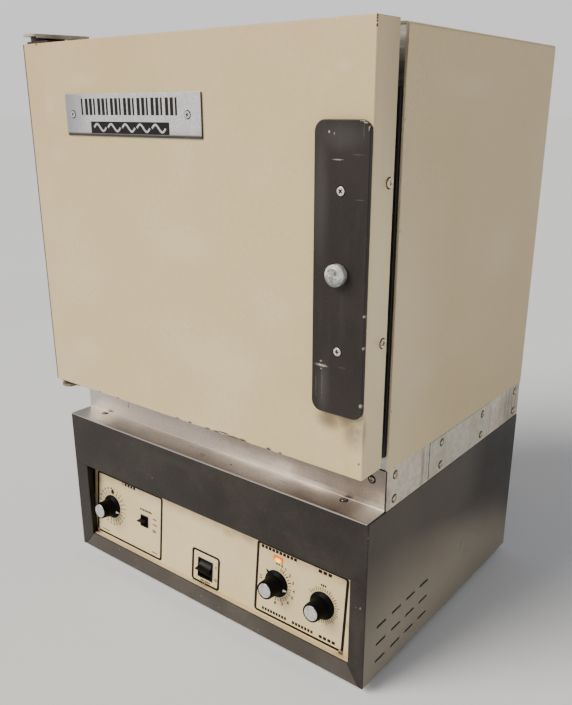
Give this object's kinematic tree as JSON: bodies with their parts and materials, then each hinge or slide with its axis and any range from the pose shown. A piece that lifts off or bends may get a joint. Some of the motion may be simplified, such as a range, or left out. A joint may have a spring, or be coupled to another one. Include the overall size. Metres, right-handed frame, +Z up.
{
  "type": "laboratory oven",
  "caption": "Benchtop gravity convection oven: beige cabinet with hinged door on a dark control base with dials, switches and a pilot lamp.",
  "frame": {"origin": "centre of the overall box, at the underside of the feet", "axes": "+X to the oven's right seen from the front, the door and controls face -Y, +Z up"},
  "size_m": [0.4636, 0.4102, 0.6536],
  "materials": {
    "beige_paint": "satin",
    "dark_paint": "satin",
    "cream_panel": "satin",
    "sheet_steel": "satin",
    "shelf_wire": "gloss",
    "heater_sheath": "matte",
    "stainless_trim": "satin",
    "galvanised": "satin",
    "aluminium": "satin",
    "gasket_rubber": "matte",
    "foot_rubber": "matte",
    "black_composite": "matte",
    "knob_black": "satin",
    "switch_black": "gloss",
    "mineral_wool": "matte",
    "pilot_orange": "gloss"
  },
  "bodies": {
    "oven": {"cabinet_wrap": "beige_paint", "cabinet_back": "beige_paint", "base_wrap": "dark_paint", "fascia_header": "dark_paint", "stile_left": "dark_paint", "stile_right": "dark_paint", "bottom_rail": "dark_paint", "upper_hinge_bracket": "dark_paint", "control_panel": "cream_panel", "cabinet_floor": "sheet_steel", "face_frame": "sheet_steel", "chamber_liner": "sheet_steel", "chamber_floor": "sheet_steel", "shelf_support_left": "sheet_steel", "shelf_support_right": "sheet_steel", "thermostat_bulb": "sheet_steel", "lower_hinge_bracket": "sheet_steel", "shelf_lower": "shelf_wire", "shelf_upper": "shelf_wire", "heater_element": "heater_sheath", "ledge_trim": "stainless_trim", "band_left": "galvanised", "band_right": "galvanised", "band_rear": "galvanised", "base_deck": "galvanised", "base_bottom": "galvanised", "thermostat_body": "galvanised", "overtemp_body": "galvanised", "exhaust_vent": "aluminium", "door_gasket": "gasket_rubber", "foot_1": "foot_rubber", "foot_2": "foot_rubber", "foot_3": "foot_rubber", "foot_4": "foot_rubber", "breaker_frame": "black_composite", "magnetic_catch": "black_composite", "power_switch_body": "switch_black", "function_switch_body": "switch_black", "power_inlet": "switch_black", "timer_body": "switch_black", "terminal_block": "switch_black", "insulation_jacket": "mineral_wool", "pilot_lamp": "pilot_orange"},
    "door": {"door_shell": "beige_paint", "door_inner_panel": "sheet_steel", "door_insulation": "mineral_wool", "handle_plate": "dark_paint", "pull_knob": "aluminium", "nameplate": "aluminium", "catch_strike": "sheet_steel", "upper_hinge_leaf": "sheet_steel", "lower_hinge_leaf": "sheet_steel", "upper_hinge_bush": "black_composite", "lower_hinge_bush": "black_composite"},
    "timer_dial": {"timer_knob": "knob_black"},
    "temperature_dial": {"temperature_knob": "knob_black"},
    "overtemp_dial": {"overtemp_knob": "knob_black"},
    "power_paddle": {"power_lever": "switch_black"},
    "function_toggle": {"function_lever": "switch_black"},
    "vent_disc": {"vent_shutter": "aluminium"}
  },
  "joints": [
    {"name": "door_hinge", "type": "hinge", "parent": "oven", "child": "door", "pos_m": [-0.2066, -0.17865, 0.2595], "axis": [0, 0, -1], "range_deg": [0, 170]},
    {"name": "timer_turn", "type": "hinge", "parent": "oven", "child": "timer_dial", "pos_m": [-0.1783, -0.15425, 0.07691], "axis": [0, 0.9954, -0.0958], "range_deg": [-120, 210]},
    {"name": "temperature_turn", "type": "hinge", "parent": "oven", "child": "temperature_dial", "pos_m": [0.1024, -0.15423, 0.07711], "axis": [0, 0.9954, -0.0958], "range_deg": [-120, 180]},
    {"name": "overtemp_turn", "type": "hinge", "parent": "oven", "child": "overtemp_dial", "pos_m": [0.1651, -0.15426, 0.07681], "axis": [0, 0.9954, -0.0958], "range_deg": [-225, 75]},
    {"name": "power_rock", "type": "hinge", "parent": "oven", "child": "power_paddle", "pos_m": [-0.006, -0.15019, 0.05126], "axis": [1, 0, 0], "range_deg": [0, 12]},
    {"name": "function_rock", "type": "hinge", "parent": "oven", "child": "function_toggle", "pos_m": [-0.11505, -0.14775, 0.07669], "axis": [1, 0, 0], "range_deg": [0, 15]},
    {"name": "vent_turn", "type": "hinge", "parent": "oven", "child": "vent_disc", "pos_m": [-0.0029, 0.19575, 0.528], "axis": [0, 1, 0], "range_deg": [0, 60]}
  ]
}
